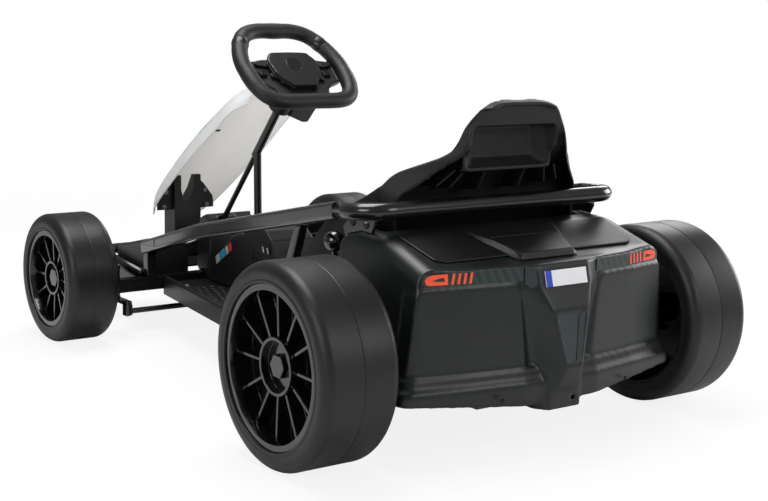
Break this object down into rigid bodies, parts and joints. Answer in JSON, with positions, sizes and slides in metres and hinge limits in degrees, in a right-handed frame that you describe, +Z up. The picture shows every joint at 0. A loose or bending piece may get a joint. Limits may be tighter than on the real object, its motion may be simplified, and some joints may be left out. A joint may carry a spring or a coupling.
{
  "type": "electric drift kart",
  "caption": "Low ride-on electric drift kart with a bucket seat, side rails, a white front fairing, steered front wheels and free-turning moulded wheels.",
  "frame": {"origin": "on the floor below the middle of the kart's length and width", "axes": "+X towards the nose, +Y to the driver's left, +Z up"},
  "size_m": [1.217, 0.781, 0.5734],
  "materials": {
    "tyre": "satin hard plastic tyre",
    "wheel_black": "gloss moulded wheel",
    "frame_paint": "satin powder coat",
    "shell_black": "satin moulded shell",
    "tray_black": "grained moulded tray",
    "seat_black": "matte moulded seat",
    "fairing_white": "white moulded fairing",
    "grip_black": "soft grip",
    "pad_black": "satin pad",
    "button_red": "gloss button",
    "lamp_red": "printed lamp strip",
    "plate_white": "white plate",
    "steel": "plated steel",
    "motor_case": "gearbox case",
    "battery_case": "battery case",
    "knob_black": "gloss ball"
  },
  "bodies": {
    "chassis": {"floor_tray": "tray_black", "under_frame": "frame_paint", "front_axle_beam": "frame_paint", "nose_shell": "shell_black", "bumper_tube": "frame_paint", "fairing_post": "shell_black", "fairing_bracket": "shell_black", "fairing": "fairing_white", "column_support": "frame_paint", "console": "shell_black", "console_pod": "shell_black", "console_button": "button_red", "accelerator_pedal": "tray_black", "shaft_cover": "shell_black", "hand_lever": "knob_black", "side_rail_left": "frame_paint", "side_rail_right": "frame_paint", "rear_hoop": "frame_paint", "rail_struts": "frame_paint", "hoop_brackets": "frame_paint", "seat": "seat_black", "seat_supports": "frame_paint", "rear_housing": "shell_black", "housing_lid": "shell_black", "tail_lamps": "lamp_red", "number_plate": "plate_white", "rear_axle": "steel", "axle_carriers": "frame_paint", "drive_motors": "motor_case", "battery": "battery_case", "wheel_housing": "grip_black"},
    "steering": {"steering_wheel": "grip_black", "steering_pad": "pad_black", "steering_shaft": "steel"},
    "tie_rod_body": {"tie_rod": "steel"},
    "left_knuckle": {"knuckle_left": "frame_paint"},
    "right_knuckle": {"knuckle_right": "frame_paint"},
    "rear_wheel_left": {"tyre_rear_left": "tyre", "rim_rear_left": "wheel_black"},
    "rear_wheel_right": {"tyre_rear_right": "tyre", "rim_rear_right": "wheel_black"},
    "front_wheel_left": {"tyre_front_left": "tyre", "rim_front_left": "wheel_black"},
    "front_wheel_right": {"tyre_front_right": "tyre", "rim_front_right": "wheel_black"}
  },
  "joints": [
    {"name": "steer", "type": "hinge", "parent": "chassis", "child": "steering", "pos_m": [0.2325, 0, 0.345], "axis": [-0.6574, 0, 0.7536], "range_deg": [-25, 25]},
    {"name": "tie_rod_slide", "type": "slide", "parent": "chassis", "child": "tie_rod_body", "axis": [0, 1, 0], "range_m": [-0.0254, 0.0254]},
    {"name": "knuckle_left_turn", "type": "hinge", "parent": "chassis", "child": "left_knuckle", "pos_m": [0.3865, 0.215, 0.096], "axis": [0, 0, 1], "range_deg": [-25.1, 25.1]},
    {"name": "knuckle_right_turn", "type": "hinge", "parent": "chassis", "child": "right_knuckle", "pos_m": [0.3865, -0.215, 0.096], "axis": [0, 0, 1], "range_deg": [-25.1, 25.1]},
    {"name": "rear_wheel_left_spin", "type": "hinge", "parent": "chassis", "child": "rear_wheel_left", "pos_m": [-0.4415, 0.33, 0.14], "axis": [0, 1, 0], "continuous": true},
    {"name": "rear_wheel_right_spin", "type": "hinge", "parent": "chassis", "child": "rear_wheel_right", "pos_m": [-0.4415, -0.33, 0.14], "axis": [0, 1, 0], "continuous": true},
    {"name": "front_wheel_left_spin", "type": "hinge", "parent": "left_knuckle", "child": "front_wheel_left", "pos_m": [0.3865, 0.3, 0.115], "axis": [0, 1, 0], "continuous": true},
    {"name": "front_wheel_right_spin", "type": "hinge", "parent": "right_knuckle", "child": "front_wheel_right", "pos_m": [0.3865, -0.3, 0.115], "axis": [0, 1, 0], "continuous": true}
  ],
  "couplings": [
    {"joint": "tie_rod_slide", "follows": "steer", "m_per_rad": -0.058},
    {"joint": "knuckle_left_turn", "follows": "steer", "ratio": 1},
    {"joint": "knuckle_right_turn", "follows": "steer", "ratio": 1}
  ]
}
